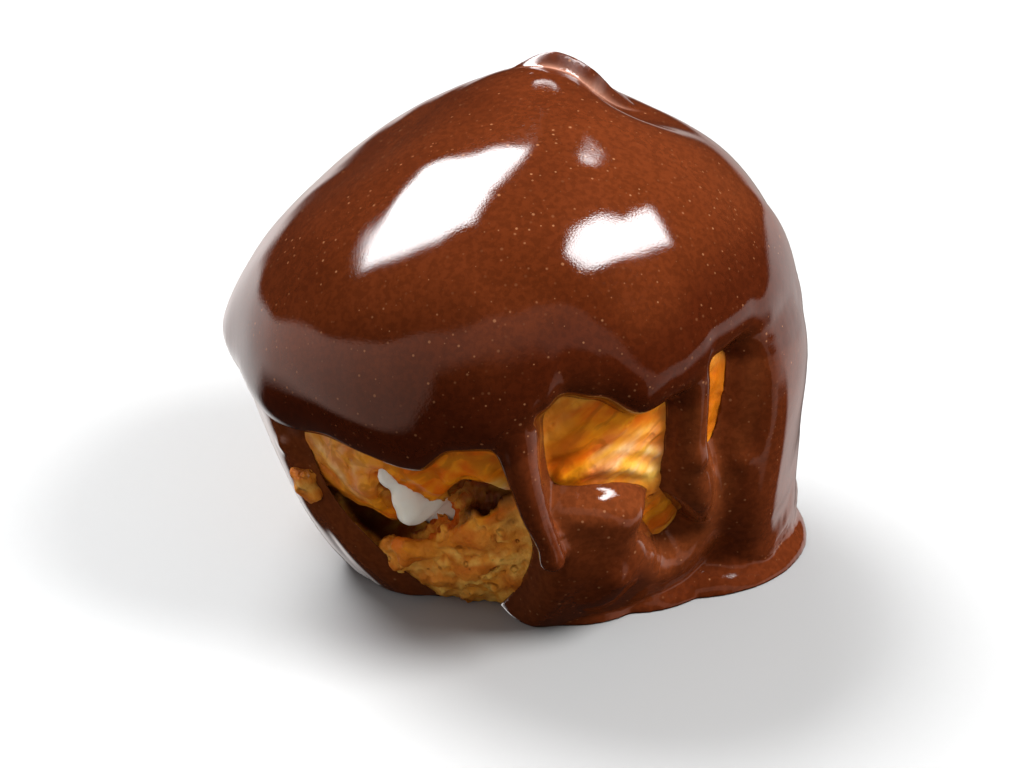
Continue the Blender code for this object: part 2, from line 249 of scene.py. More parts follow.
def smooth_max(one, two, blend):
    """The larger of two lengths, rounded where they are nearly the same."""
    near = np.clip(blend - np.abs(one - two), 0, None) / blend
    return np.maximum(one, two) + near * near * blend / 4


def apart_from_path(points, path, off=0.0, per_leg=6):
    """Distance of each point from a smooth path over the bun."""
    return np.min([apart_from(points, azimuth, z, off) for azimuth, z in sampled(path, per_leg)], axis=0)


def stream_height(skin, stream):
    """Thickness of one stream of sauce over points of the bun's skin, below zero outside it."""
    path, widths, heights, *edge = stream
    soft_edge = edge[0] * MM if edge else STREAM_EDGE
    best = np.full(len(skin), -math.inf)
    height = np.zeros(len(skin))
    for azimuth, z, width, thick in sampled([(*at, w, h) for at, w, h in zip(path, widths, heights)]):
        share = (width * MM - apart_from(skin, azimuth, z)) / min(width * MM, soft_edge)
        better = share > best
        best = np.where(better, share, best)
        height = np.where(better, thick * MM, height)
    return height * np.where(best > 0, np.clip(bead(best), 0, 1) ** STREAM_ROUND, best)


def coat_thickness(directions):
    """Thickness of the sauce along each direction, below zero where there's none."""
    skin = bun_skin(directions)
    azimuths = azimuth_of(directions)
    elevation = np.degrees(np.arcsin(np.clip(directions[:, 2], -1, 1)))
    low = np.clip(1 - elevation / THIN_ABOVE, 0, 1)
    thick = TOP_COAT + (LIP_COAT - TOP_COAT) * low + swollen(directions, SWELLINGS)
    above_lip = skin[:, 2] - around(LIP, azimuths)
    thickness = thick * bead(above_lip / around(LIP_ROLL, azimuths))
    for stream in STREAMS.values():
        thickness = smooth_max(thickness, stream_height(skin, stream), BLEND)
    for path, radius in WINDOWS.values():
        share = bead((apart_from_path(skin, path) - radius * MM) / WINDOW_EDGE)
        round_it = np.where(thickness > 0, thickness * share, thickness)
        thickness = np.where(share < 0, np.minimum(thickness, share * WINDOW_DEEP), round_it)
    return np.maximum(thickness, INSIDE)


for place, way in {"on top": (0, 90), "in the tear": (-30, -27), "in the drape": (80, -20)}.items():
    print("sauce", place, "in mm:", round(float(coat_thickness(towards(*way)[None])[0] / MM), 1))

# %% [markdown]
# ## Tools for soft shapes
#
# Sauce and pastry have no straight edges. Metaballs would give soft shapes, but no say over their faces.
# So each piece starts as balls from bmesh, pushed and pulled by a function. A voxel Remesh melts
# overlapping balls into one skin, and a Smooth modifier takes its steps out, as surface tension does.
# Booleans come last, because they leave crisp edges.

# %% Balls of many small faces
def new_object(name, bm):
    """An object from a bmesh, with its faces turned outwards."""
    bmesh.ops.recalc_face_normals(bm, faces=bm.faces[:])
    mesh = bpy.data.meshes.new(name)
    bm.to_mesh(mesh)
    bm.free()
    mesh.shade_smooth()
    thing = bpy.data.objects.new(name, mesh)
    bpy.context.scene.collection.objects.link(thing)
    return thing


def pushed_ball(level, reach):
    """An icosphere as a bmesh, each vertex moved out to its distance from the middle."""
    bm = bmesh.new()
    bmesh.ops.create_icosphere(bm, subdivisions=level, radius=1.0)
    directions = np.array([v.co for v in bm.verts], float)
    directions /= np.linalg.norm(directions, axis=1)[:, None]
    for v, point in zip(bm.verts, MIDDLE + directions * reach(directions)[:, None]):
        v.co = point
    return bm


def add_ball(bm, centre, radii, turn=Matrix.Identity(4), level=3):
    """One more ball in a bmesh, stretched to three radii."""
    place = Matrix.Translation(Vector(centre)) @ turn @ Matrix.Diagonal((*radii, 1))
    bmesh.ops.create_icosphere(bm, subdivisions=level, radius=1.0, matrix=place)


def add_beads(bm, rows):
    """Small round balls at places over the bun: azimuth, height, distance from its skin, radius."""
    for azimuth, z, off, radius in rows:
        add_ball(bm, on_bun(azimuth, z * MM, off * MM), [radius * MM] * 3)


def facing(azimuth, lean=0.0):
    """A turn that brings a ball's Y axis to point outwards at an azimuth."""
    return Matrix.Rotation(math.radians(azimuth), 4, "Z") @ Matrix.Rotation(math.radians(lean), 4, "Y")


print("triangles of a ball by level:", {level: 20 * 4 ** (level - 1) for level in (3, 6, 8)})


# %% Melting and cutting
def settle(thing):
    """Turns an object's modifiers into its mesh."""
    graph = bpy.context.evaluated_depsgraph_get()
    result = bpy.data.meshes.new_from_object(thing.evaluated_get(graph))
    thing.modifiers.clear()
    old, thing.data = thing.data, result
    bpy.data.meshes.remove(old)
    return thing


def melted(thing, voxel, rounds):
    """Melts a piece's overlapping balls into one skin, and smooths it."""
    step = thing.modifiers.new("remesh", "REMESH")
    step.mode = "VOXEL"
    step.voxel_size = voxel
    thing.modifiers.new("soft", "SMOOTH").iterations = rounds
    return settle(thing)


def cut(thing, other):
    """Takes another shape out of a piece."""
    step = thing.modifiers.new("cut", "BOOLEAN")
    step.operation = "DIFFERENCE"
    step.solver = "MANIFOLD"
    step.object = other
    settle(thing)
    bpy.data.objects.remove(other)
    return thing


def cut_flat(thing, height, block=0.2):
    """Takes off what lies below a height."""
    bm = bmesh.new()
    bmesh.ops.create_cube(bm, size=block, matrix=Matrix.Translation((0, 0, height - block / 2)))
    return cut(thing, new_object("block", bm))


# %% Reading and moving a mesh's vertices
def points_of(thing):
    flat = np.empty(len(thing.data.vertices) * 3)
    thing.data.vertices.foreach_get("co", flat)
    return flat.reshape(-1, 3)


def normals_of(thing):
    flat = np.empty(len(thing.data.vertices) * 3)
    thing.data.vertex_normals.foreach_get("vector", flat)
    return flat.reshape(-1, 3)


def move_to(thing, points):
    thing.data.vertices.foreach_set("co", points.ravel())
    thing.data.update()


def raise_by(thing, height_of):
    """Moves each vertex along its normal by a height in millimetres, worked out from its place."""
    points = points_of(thing)
    move_to(thing, points + normals_of(thing) * (height_of(points) * MM)[:, None])


def divided(thing, spots):
    """Divides the faces near a few places once more."""
    points = points_of(thing)
    near = np.zeros(len(points), bool)
    for azimuth, z, radius in spots:
        near |= apart_from(points, azimuth, z) < radius * MM
    bm = bmesh.new()
    bm.from_mesh(thing.data)
    edges = [e for e in bm.edges if near[e.verts[0].index] and near[e.verts[1].index]]
    bmesh.ops.subdivide_edges(bm, edges=edges, cuts=1, use_grid_fill=True)
    bmesh.ops.triangulate(bm, faces=[f for f in bm.faces if len(f.verts) > 4])
    bm.to_mesh(thing.data)
    bm.free()


def keep(thing, **numbers):
    """Stores numbers for each vertex, which a material reads by name."""
    for name, values in numbers.items():
        made = thing.data.attributes.new(name, "FLOAT", "POINT")
        made.data.foreach_set("value", np.asarray(values, np.float32))
    print("kept on the", thing.name + ":", ", ".join(numbers))


def waves(points, length, seed, count=14):
    """A smooth wavy pattern between about -1 and 1: the sum of a few plane waves of nearly one length."""
    draw = np.random.default_rng(seed)
    total = np.zeros(len(points))
    for _ in range(count):
        way = draw.normal(size=3)
        way /= np.linalg.norm(way)
        stretch = draw.uniform(0.75, 1.35)
        total += np.sin(points @ way * (2 * math.pi / (length * stretch)) + draw.uniform(0, 2 * math.pi))
    return total / math.sqrt(count)


def wavy(points, table):
    """The sum of some wavy patterns, each with its length, height and seed, in millimetres."""
    return sum(height * waves(points, length * MM, seed) for length, height, seed in table)


def told(thing, when):
    """Prints how many triangles a piece has, and its size."""
    count = sum(len(p.vertices) - 2 for p in thing.data.polygons)
    print(thing.name, when, count, "triangles,", (np.ptp(points_of(thing), axis=0) / MM).round(1), "mm")


print("a wavy pattern, read every 2 mm:", waves(np.eye(3) * 2 * MM, 5 * MM, 4).round(2))

# %% [markdown]
# ## The chocolate sauce
#
# The sauce is one thick skin over the bun. Its last pour left a fold round the back of a small peak, a
# drip hangs free of the bun, and a foot has spread where the streams reach the plate. A ball pushed out
# to the coat's thickness gives the skin, a string of small balls the drip and flattened ones the foot,
# and melting makes them one. The bun's room is cut out last, a hair smaller than the bun, so the sauce
# clings to it with no gap.

# %% The fold of sauce at the peak, and small dimples
FOLD_PATH = ((190, 59), (182, 62), (169, 63.2), (156, 62.1), (144, 58), (141, 50.5), (136.5, 43), (135, 38))
FOLD_RISE = 1.7 * MM
FOLD_STEP = 1.0 * MM
FOLD_BACK = 3.6 * MM
DIMPLES = (  # azimuth, elevation, spread in degrees, height
    (165, 70, 2.0, -0.12),
    (-22, 50, 0.6, -0.16),
)


def behind_fold(directions):
    """Distance behind the peak's crease, below zero in front of it, and how much of the fold is there."""
    line = np.array([towards(azimuth, elevation) for azimuth, elevation in sampled(FOLD_PATH, 24)])
    at = directions @ line.T
    near = at.argmax(axis=1)
    apart = np.arccos(np.clip(at.max(axis=1), -1, 1)) * BUN_RADIUS
    tangent = np.gradient(line, axis=0)[near]
    side = np.sign(np.einsum("ij,ij->i", np.cross(tangent, directions - line[near]), line[near]))
    share = near / (len(line) - 1)
    return apart * side, ease((share - 0.12) / 0.3) * ease((1 - share) / 0.4)


def fold_step(directions):
    """From 0 at the peak's crease up to 1 at a sharp crest behind it, then down again."""
    behind_by, ends = behind_fold(directions)
    fall = np.exp(-((np.maximum(behind_by - FOLD_STEP, 0) / FOLD_BACK) ** 1.5))
    return ends * np.clip(behind_by / FOLD_STEP, 0, 1) * fall


print("the fold stands", FOLD_RISE / MM, "mm above its crease")

# %% The coat, the drip and the foot as balls
DRIP = (  # azimuth, height, distance from the bun's skin, radius
    (0.5, 28, 1.2, 2.8),
    (2.3, 23.6, 2.8, 1.9),
    (4.6, 19.0, 3.6, 1.6),
    (7.4, 15.0, 4.2, 1.35),
    (8.4, 12.8, 4.4, 1.55),
)
BULGE = (22, 7.0, -1.0, 5.2)
FOOT = ((84, 18.5, 13.5, 4.0), (56, 15, 10.0, 3.2), (28, 14, 8.5, 2.8), (171, 15, 8.0, 2.4))
GAP = 0.3 * MM
CLING = 0.15 * MM
SAUCE_VOXEL = 0.42 * MM


def sauce_reach(directions):
    return bun_reach(directions) + GAP + coat_thickness(directions)


bm = pushed_ball(8, sauce_reach)
add_beads(bm, (*sampled(DRIP, 6), BULGE))
for azimuth, far, radius, height in FOOT:
    turn = math.radians(azimuth)
    centre = (far * MM * math.sin(turn), -far * MM * math.cos(turn), 0)
    add_ball(bm, centre, (radius * MM, radius * MM, height * MM), level=4)
sauce = melted(new_object("sauce", bm), SAUCE_VOXEL, 8)
told(sauce, "melted")

# %% A smooth roof, slow waves, the fold and small swellings
PEAK_SPOTS = ((165, 45, 11.0),)  # azimuth, height, radius
ROOF_ABOVE = 4.0 * MM
ROOF_FADE = 5.0 * MM
WAVES = ((13.0, 0.05, 3), (5.0, 0.015, 4))  # length, height, seed
BUMPS = (  # azimuth, height, distance from the bun's skin, radius, how far it swells
    (25, 7.6, 4.0, 2.2, 1.1),
    (42.5, 20.6, 3.0, 1.3, 0.55),
    (56.5, 16.8, 3.6, 1.4, 0.70),
    (39.5, 8.6, 3.0, 1.5, 0.60),
    (-64, 16.6, 2.2, 1.1, 0.60),
)

divided(sauce, PEAK_SPOTS)
points = points_of(sauce)
directions = directions_from_middle(points)[0]
above_lip = points[:, 2] - around(LIP, azimuth_of(directions))
# melting leaves faint steps, so the roof's points go back onto the coat's exact thickness
roof = ease((above_lip - ROOF_ABOVE) / ROOF_FADE)[:, None]
exact = MIDDLE + directions * sauce_reach(directions)[:, None]
move_to(sauce, points * (1 - roof) + exact * roof)
points, normals = points_of(sauce), normals_of(sauce)
for row in WAVES:
    points += normals * (wavy(points, [row]) * MM)[:, None]
directions = directions_from_middle(points)[0]
points += normals * (swollen(directions, DIMPLES) + FOLD_RISE * fold_step(directions))[:, None]
for azimuth, z, off, radius, height in BUMPS:
    share = np.exp(-((apart_from(points, azimuth, z, off) / (radius * MM)) ** 2))
    points += normals * (height * MM * share)[:, None]
move_to(sauce, points)
told(sauce, "with its fold")

# %% The bun's room and the flat underside
cut(sauce, new_object("room", pushed_ball(6, lambda d: bun_reach(d) - CLING)))
cut_flat(sauce, 0.0)
sauce.data.shade_smooth()
told(sauce, "finished")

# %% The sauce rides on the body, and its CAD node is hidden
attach(sauce, "root")
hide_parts("chocolate_sauce")

# %% [markdown]
# ## The baked bun
#
# A choux bun is a hollow shell. Its skin bakes into smooth brown plates with rough, paler cracks between
# them, turns moist and lies in soft folds where sauce surrounds it, and breaks into crumb where it is
# torn. All this could be one sculpted mesh, or a bump map on a ball. Here a ball has the tear taken out
# of it as a string of smaller balls, crumbs are melted onto the torn edge, and the relief is then pushed
# along the surface's own normals, so that it follows the torn edges too and shows from every side.

# %% The tear and its broken edge
TEAR = (  # azimuth, height, half-height, depth
    (-60, 8.8, 1.1, 4.5),
    (-52, 8.7, 2.0, 5.5),
    (-44, 8.4, 2.2, 5.5),
    (-37, 8.8, 1.4, 4.5),
    (-30, 10.4, 1.2, 4.5),
    (-22, 12.0, 0.9, 3.8),
    (-18, 13.3, 0.9, 3.4),
    (-14.5, 16.0, 1.3, 3.6),
    (-10.5, 17.3, 1.8, 3.8),
    (-6, 17.0, 1.6, 3.6),
    (-2.5, 17.2, 1.1, 3.4),
)
TEAR_WIDTH = 1.6 * MM
TEAR_SUNK = -1.5 * MM
RAGGED_PLACE = ((0.3, 2.3), (0.2, 5.1))  # how far up or down a ball stands, and how fast that changes
RAGGED_HEIGHT = ((0.3, 3.7),)
NOTCH = (-27.8, 14.5, 2.5, 5.4, 8.0, -33)  # azimuth, height, half-width, half-height, depth, lean
POCKETS = (  # azimuth, elevation, spread, how much thicker the wall is
    (-50, -32, 13, 4.6),
    (-11, -21, 12, 4.6),
)
CRUMBS = (  # azimuth, height, distance from the skin, radius
    (-38, 7.6, -1.2, 1.3), (-34, 8.4, -0.6, 1.1), (-30, 9.2, -0.7, 1.0), (-35.5, 5.6, -0.4, 1.3),
    (-32, 6.6, 0.0, 0.8), (-41, 6.6, -0.8, 0.9), (-37, 4.0, -0.4, 0.8), (-30.5, 7.7, 0.0, 0.6),
    (-27, 8.4, -0.8, 0.8), (-58.5, 13.6, 1.2, 1.1), (-60.5, 12.2, 1.4, 1.1), (-57, 11.8, 0.8, 0.9),
    (-62, 13.8, 1.4, 0.8), (-59, 10.9, 1.3, 0.7),
)
SUNK = 1.8 * MM
SUNK_WIDTH = 4.6 * MM
BUN_VOXEL = 0.52 * MM


def tear_distance(points):
    return apart_from_path(points, [row[:2] for row in TEAR], per_leg=4)


def skin_reach(directions):
    """The bun's skin, which has sunk in along the tear."""
    sunk = SUNK * np.exp(-((tear_distance(bun_skin(directions)) / SUNK_WIDTH) ** 2))
    return bun_reach(directions) - sunk


def ragged(i, table):
    return sum(much * math.sin(i * speed) for much, speed in table)


def make_tear():
    """The space of the tear: a string of upright balls, and one more where the cream pushes out."""
    bm = bmesh.new()
    for i, (azimuth, z, half, deep) in enumerate(sampled(TEAR, 8)):
        radii = (TEAR_WIDTH, deep * MM, (half + ragged(i, RAGGED_HEIGHT)) * MM)
        centre = on_bun(azimuth, (z + ragged(i, RAGGED_PLACE)) * MM, TEAR_SUNK)
        add_ball(bm, centre, radii, facing(azimuth))
    azimuth, z, half_width, half_height, deep, lean = NOTCH
    radii = (half_width * MM, deep * MM, half_height * MM)
    add_ball(bm, on_bun(azimuth, z * MM, TEAR_SUNK), radii, facing(azimuth, lean))
    return melted(new_object("tear", bm), BUN_VOXEL, 1)


# %% The bun with its tear and crumbs
bun = new_object("bun", pushed_ball(7, skin_reach))
cut(bun, make_tear())
bm = bmesh.new()
bm.from_mesh(bun.data)
add_beads(bm, CRUMBS)
bpy.data.objects.remove(bun)
bun = melted(new_object("bun", bm), BUN_VOXEL, 2)
told(bun, "melted")

# %% Finer faces where the tear and the gaps in the sauce show the bun
FINE_SPOTS = ((-34, 12, 13.0), (22, 24, 11.0), (57, 25, 6.0))  # azimuth, height, radius

divided(bun, FINE_SPOTS)
told(bun, "with finer faces")

# %% Plates of dry skin and folds of moist skin
CRAG_SIZE = 5.5 * MM
CRAG_SHIFT = Vector((3.1, 0.4, 7.7))
CRAG_WARP, WARP_LENGTH = 0.5 * MM, 3.5 * MM
CRACK_SHARPNESS = 2.2
WET_FOLDS = (  # path of (azimuth, height), half-width, height
    (((12, 21.2), (20, 21.8), (28, 20.8), (35, 18.8)), 0.9, 1.00),
    (((17, 22.6), (24, 23.4), (31, 22.6), (36, 21.4)), 0.7, 0.70),
    (((9, 23.0), (15, 24.6), (22, 25.6), (29, 25.2), (37, 24.2)), 0.7, 0.60),
    (((7, 25.6), (12, 27.4), (19, 27.6), (27, 27.0), (36, 27.4)), 0.8, 0.55),
    (((29, 23.6), (32, 25.2), (35, 26.4)), 0.5, 0.45),
    (((13, 22.2), (16, 24.0), (17, 26.6)), 0.5, 0.40),
    (((22, 24.2), (25, 26.0), (25, 28.4)), 0.5, 0.40),
    (((-58, 19.5), (-50, 18.0), (-42, 14.6)), 1.3, 0.40),
    (((-45, 21.0), (-40, 17.5), (-37, 13.5)), 0.9, 0.35),
    (((-24, 20.5), (-19, 17.6), (-15, 19.6)), 0.9, 0.60),
    (((-15, 20.6), (-10, 21.8), (-4, 20.4), (-2, 18.6)), 1.0, 0.80),
    (((38, 15.0), (42, 12.5), (45, 9.5)), 0.8, 0.50),
)
FOLDS_SUNK = -0.8
SLANT_TURN, SLANT_RISE = math.radians(22), math.radians(30)
SLANT_STRETCH = 3.0
SLANT_LEVEL = math.cos(SLANT_RISE)
SLANT_WAY = np.array(
    [math.cos(SLANT_TURN) * SLANT_LEVEL, math.sin(SLANT_TURN) * SLANT_LEVEL, math.sin(SLANT_RISE)]
)


def crags(points):
    """Swollen plates of baked skin from 0 to 1, with cracks between them."""
    warp = np.stack([waves(points, WARP_LENGTH, seed) for seed in (21, 22, 23)], axis=1)
    relief = np.empty(len(points))
    for i, point in enumerate(points + CRAG_WARP * warp):
        near, next_near = noise.voronoi(Vector(point) / CRAG_SIZE + CRAG_SHIFT)[0][:2]
        relief[i] = min(1.0, (next_near - near) * CRACK_SHARPNESS)
    return relief


def along_folds(points):
    """Points squeezed along the folds' slant, so that a pattern read at them comes out drawn out."""
    return points - (1 - 1 / SLANT_STRETCH) * (points @ SLANT_WAY)[:, None] * SLANT_WAY


def wet_folds(points):
    """Height in millimetres of the soft folds of moist skin."""
    height = np.zeros(len(points))
    for path, half_width, tall in WET_FOLDS:
        height += tall * np.exp(-((apart_from_path(points, path, FOLDS_SUNK) / (half_width * MM)) ** 2))
    return height


print(len(WET_FOLDS), "folds, slanting along", SLANT_WAY.round(2))

# %% Where the skin is bare, moist or torn
BARE_BELOW = -0.1 * MM
BARE_FADE = 1.2 * MM
TORN_BELOW = 0.5 * MM
TORN_FADE = 0.8 * MM
MOIST = (  # azimuth, height, radius
    (-34, 18, 15.0), (-10, 20, 10.0), (22, 23, 13.0), (57, 24, 9.0), (41, 12, 6.0),
)
PLACE_EDGE = 1.6  # a place fades out over the radius divided by this


def near_places(points, places):
    """From 0 outside all places to 1, or a place's own most, in the middle of one."""
    share = np.zeros(len(points))
    for azimuth, z, radius, *most in places:
        inside = ease(PLACE_EDGE - PLACE_EDGE * apart_from(points, azimuth, z) / (radius * MM))
        share = np.maximum(share, inside * (most[0] if most else 1.0))
    return share


def skin_masks(points):
    """Where the skin is bare, and where it is outer skin and not a torn face."""
    directions, far = directions_from_middle(points)
    bare = ease((BARE_BELOW - coat_thickness(directions)) / BARE_FADE)
    outer = 1 - ease((skin_reach(directions) - far - TORN_BELOW) / TORN_FADE)
    return bare, outer


around_foot = np.array([towards(azimuth, -30) for azimuth in (-90, 0, 90, 180)])
print("bare at the left, front, right and back:", skin_masks(bun_skin(around_foot))[0].round(2))

# %% Relief of the plates, the moist folds and the torn crumb
ROUGH = ((2.2, 0.14, 41), (1.1, 0.09, 42), (0.7, 0.07, 43))  # length, height, seed
FIBRES = ((1.7, 0.16, 44), (0.9, 0.07, 45))
SOFT = ((3.4, 0.16, 46),)
FIBRES_FROM, FIBRES_FADE = -5, 10  # degrees of azimuth
PLATE_TALL, CRACK_DEPTH, CRACK_ROUGH = 0.9, 0.75, 1.6
FOLD_TALL, MOIST_SUNK = 1.2, 0.35
CRUMB_ROUGH = 2.2


def bun_relief(points):
    """Height in millimetres: plates on dry skin, folds and fibres on moist skin, crumb where it is torn."""
    bare, outer = skin_masks(points)
    moist, plates, rough = near_places(points, MOIST), crags(points), wavy(points, ROUGH)
    baked = PLATE_TALL * (plates - CRACK_DEPTH) + rough * (CRACK_ROUGH - plates)
    right = ease((azimuth_of(points - MIDDLE) - FIBRES_FROM) / FIBRES_FADE)
    fibres = right * wavy(along_folds(points), FIBRES) + (1 - right) * wavy(points, SOFT)
    damp = FOLD_TALL * wet_folds(points) - MOIST_SUNK + fibres
    height = outer * (moist * damp + (1 - moist) * baked) + (1 - outer) * CRUMB_ROUGH * rough
    print("relief from", round(float(height.min()), 1), "to", round(float(height.max()), 1), "mm")
    return height * np.sqrt(bare)


raise_by(bun, bun_relief)

# %% The hollow
HOLLOW_SPOTS = ((-30, 14, 15.0),)
RIPPLE = ((3.0, 0.35, 51), (1.5, 0.15, 52))


def wall(directions):
    return WALL + swollen(directions, POCKETS)


hollow = new_object("hollow", pushed_ball(6, lambda d: bun_reach(d) - wall(d)))
divided(hollow, HOLLOW_SPOTS)
raise_by(hollow, lambda points: wavy(points, RIPPLE))
cut(bun, cut_flat(hollow, WALL))
cut_flat(bun, 0.0)
bun.data.shade_smooth()
told(bun, "finished")

# %% Numbers that the bun's finish reads
# azimuth, height, radius, and where there is a fourth number, the most that is reached in the middle
# places where the moist skin turns paler on its fold crests, painted light where light catches them: the
# window's lower right, the membrane, and the arch by the tear
PALE = ((29, 20.8, 6.5, 0.8), (33, 20.0, 4.8, 1.0), (-46, 20, 8.5, 0.7), (-3, 18.5, 3.0, 0.7))
# darker places, stained by sauce and partly painted shade where the lip and drape shade the pastry: the
# slit, the window's upper left, beside the bridge and by the low gap
STAINED_AND_SHADED = ((54.5, 25, 8.5, 1.0), (9.5, 26, 5.0, 0.75), (42, 12, 3.5, 0.4), (40.5, 19, 3.0, 0.6))
# sauce that ran into the tear, darkened as painted shade in its two pockets
SAUCED_AND_SHADED = ((-50, 9.0, 11.0), (-8, 16.2, 8.5))
STAIN_AND_SHADE_FADE = 1.3 * MM

points = points_of(bun)
bare, outer = skin_masks(points)
# painted shade, partly stained by sauce, along the sauce's edges on the bare skin
edge = 1 - ease(-coat_thickness(directions_from_middle(points)[0]) / STAIN_AND_SHADE_FADE)
keep(
    bun,
    outer=outer,
    moist=near_places(points, MOIST),
    plates=crags(points),
    folds=wet_folds(points),
    # pale: painted light on the moist skin's fold crests
    pale=near_places(points, PALE),
    # sauce on the torn faces in the pockets, darkened as painted shade
    sauced=near_places(points, SAUCED_AND_SHADED) * (1 - outer),
    # darker near the sauce's edges and at the listed places: partly stained by sauce, partly painted shade
    stain=np.maximum(edge, near_places(points, STAINED_AND_SHADED)),
)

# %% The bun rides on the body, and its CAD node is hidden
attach(bun, "root")
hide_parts("choux_bun")

# %% [markdown]
# ## The cream
#
# Whipped cream fills the bun's hollow, and a little of it squeezes out between the torn edges. It could
# be only the part that shows, but then it would be missing from other sides. A ball a hair smaller than
# the hollow, with two swellings where it pushes out and a soft unevenness, fills the bun as a piping bag
# would.

# %% The cream fills the hollow and heaps up in the tear
CREAM_HEAP = ((-32, -18, 6.0, 5.6), (-26.5, -28, 6.5, 7.0))  # azimuth, elevation, spread, height
WHIPPED_WAVES = ((4.0, 0.22, 61), (1.6, 0.10, 62))  # length, height, seed


def cream_reach(directions):
    return bun_reach(directions) - wall(directions) - GAP + swollen(directions, CREAM_HEAP)


cream = new_object("cream", pushed_ball(7, cream_reach))
raise_by(cream, lambda points: wavy(points, WHIPPED_WAVES))
cut_flat(cream, WALL + GAP)
cream.data.shade_smooth()
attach(cream, "root")
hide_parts("cream_filling")
told(cream, "finished")

# %% [markdown]
# ## Finishes from nodes
#
# Chocolate, crust and cream have no printed pattern, only soft patches, specks and grain of different
# sizes. Painted images would need unwrapping and would blur close up. Noise and cell patterns, read at the
# piece's own coordinates, stay sharp at any distance. The three effects that the foods share are node
# groups, built once and placed in each material with its own values.

# %% A short way to make nodes
def node(tree, kind, links=None, **settings):
    """A shader node with its settings, and its inputs linked or set."""
    made = tree.nodes.new("ShaderNode" + kind)
    for name, value in settings.items():
        setattr(made, name, value)
    for socket, value in (links or {}).items():
        connect(tree, made.inputs[socket], value)
    return made


def connect(tree, socket, value):
    """Links another socket to this one, or sets its value."""
    if isinstance(value, bpy.types.NodeSocket):
        tree.links.new(value, socket)
    else:
        socket.default_value = value


def new_material(name, finish, **constants):
    """A material: constants on its Principled shader's sockets, and what a finish works out for others."""
    made = bpy.data.materials.new(name)
    made.use_nodes = True
    tree = made.node_tree
    shader = tree.nodes["Principled BSDF"]
    for socket, value in (constants | finish(tree)).items():
        connect(tree, shader.inputs[socket.replace("_", " ")], value)
    return made


def wear(thing, material):
    """Gives a piece its one material."""
    thing.data.materials.clear()
    thing.data.materials.append(material)
    print(thing.name, "wears", material.name, "with", len(material.node_tree.nodes), "nodes")


# %% Nodes that are used again and again
def math_node(tree, operation, *values):
    return node(tree, "Math", dict(enumerate(values)), operation=operation).outputs[0]


def product(tree, one, two):
    return math_node(tree, "MULTIPLY", one, two)


def stepped(tree, value, low, high, bottom=0.0, top=1.0):
    """A value brought softly from between low and high to between bottom and top."""
    numbers = {"Value": value, "From Min": low, "From Max": high, "To Min": bottom, "To Max": top}
    return node(tree, "MapRange", numbers, interpolation_type="SMOOTHSTEP").outputs[0]


def blended(tree, share, one, two, mode="MIX"):
    """One colour mixed with another."""
    made = node(tree, "Mix", {0: share, 6: one, 7: two}, data_type="RGBA", blend_type=mode)
    return made.outputs[2]


def place_of(tree):
    """Object coordinates, which stay with the piece."""
    return node(tree, "TexCoord").outputs["Object"]


def stored(tree, name):
    """A number kept on the mesh."""
    return node(tree, "Attribute", attribute_name=name).outputs["Fac"]


def bumped(tree, height, distance, strength=1.0, under=None):
    """A normal bent by a height, on top of another bent normal if there is one."""
    values = {"Height": height, "Distance": distance, "Strength": strength}
    if under is not None:
        values["Normal"] = under
    return node(tree, "Bump", values).outputs[0]


# %% A group with named sockets, and mottling
def new_group(name, inputs, outputs):
    """A shader node group with named sockets of some kinds, and its own input and output nodes."""
    tree = bpy.data.node_groups.new(name, "ShaderNodeTree")
    for way, sockets in (("INPUT", inputs), ("OUTPUT", outputs)):
        for label, kind in sockets.items():
            tree.interface.new_socket(label, in_out=way, socket_type="NodeSocket" + kind)
    return tree, tree.nodes.new("NodeGroupInput").outputs, tree.nodes.new("NodeGroupOutput").inputs


def make_mottle():
    """Soft, uneven patches between two colours."""
    inputs = {"Vector": "Vector", "Scale": "Float", "Low": "Color", "High": "Color"}
    tree, into, out = new_group("mottle", inputs, {"Color": "Color", "Mask": "Float"})
    pattern = {"Vector": into["Vector"], "Scale": into["Scale"], "Detail": 4.0, "Distortion": 0.4}
    mask = stepped(tree, node(tree, "TexNoise", pattern).outputs["Fac"], 0.36, 0.64)
    tree.links.new(mask, out["Mask"])
    tree.links.new(blended(tree, mask, into["Low"], into["High"]), out["Color"])
    return tree


MOTTLE = make_mottle()
print("mottle has the sockets", [item.name for item in MOTTLE.interface.items_tree])


# %% Specks and grain
def make_specks():
    """Small round specks: only some cells of a Voronoi pattern have one, of their own size."""
    inputs = {"Vector": "Vector", "Scale": "Float", "Radius": "Float", "Share": "Float"}
    tree, into, out = new_group("specks", inputs, {"Mask": "Float", "Random": "Float"})
    cells = node(tree, "TexVoronoi", {"Vector": into["Vector"], "Scale": into["Scale"]})
    random = node(tree, "SeparateColor", {0: cells.outputs["Color"]}).outputs
    chosen = math_node(tree, "LESS_THAN", random[0], into["Share"])
    radius = product(tree, into["Radius"], math_node(tree, "ADD", random[1], 0.4))
    inside = math_node(tree, "SUBTRACT", 1.0, math_node(tree, "DIVIDE", cells.outputs["Distance"], radius))
    tree.links.new(product(tree, chosen, stepped(tree, inside, 0.0, 0.6)), out["Mask"])
    tree.links.new(random[2], out["Random"])
    return tree


def make_grain():
    """A fine, even roughness of height."""
    inputs = {"Vector": "Vector", "Scale": "Float", "Detail": "Float"}
    tree, into, out = new_group("grain", inputs, {"Height": "Float"})
    fine = node(tree, "TexNoise", {label: into[label] for label in inputs})
    tree.links.new(fine.outputs["Fac"], out["Height"])
    return tree


def effect(tree, group, **values):
    """A shared effect placed in a material with its own values."""
    made = tree.nodes.new("ShaderNodeGroup")
    made.node_tree = group
    for socket, value in values.items():
        connect(tree, made.inputs[socket], value)
    return made.outputs


SPECKS, GRAIN = make_specks(), make_grain()
print("shared effects:", [group.name for group in bpy.data.node_groups])
